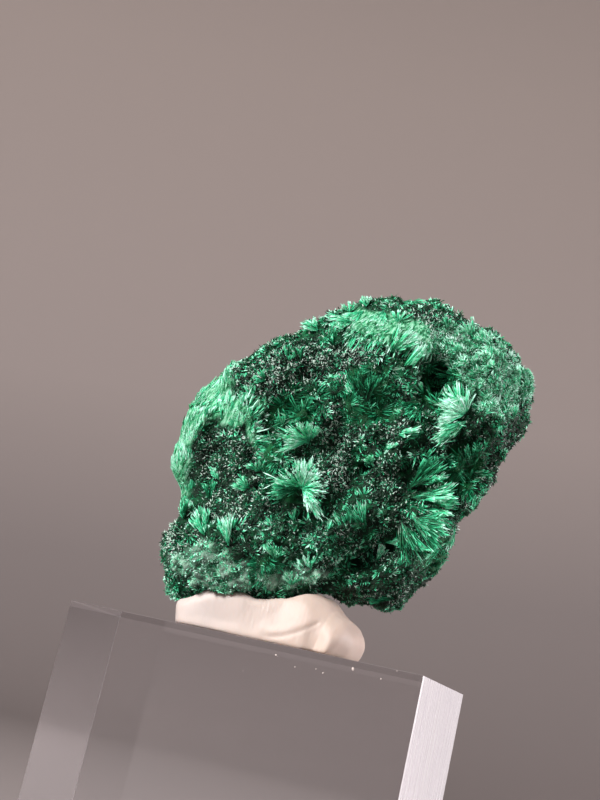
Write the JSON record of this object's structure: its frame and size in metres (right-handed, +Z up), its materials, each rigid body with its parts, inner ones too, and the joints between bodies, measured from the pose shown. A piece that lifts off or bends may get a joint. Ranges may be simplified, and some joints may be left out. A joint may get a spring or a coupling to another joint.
{
  "type": "malachite specimen",
  "caption": "Broken lump of green malachite with radiating crystal sprays, held by white putty on top of a clear acrylic display block.",
  "frame": {"origin": "centre of the block's bottom face, on the surface that it stands on", "axes": "+Z up, +X along the block's broad front to its right, +Y to its back"},
  "size_m": [0.055, 0.034, 0.1046],
  "materials": {
    "malachite": "rough crystal",
    "mineral_putty": "matte",
    "acrylic_block": "polished clear"
  },
  "bodies": {
    "root": {"malachite": "malachite", "mineral_putty": "mineral_putty", "acrylic_block": "acrylic_block"}
  },
  "joints": []
}
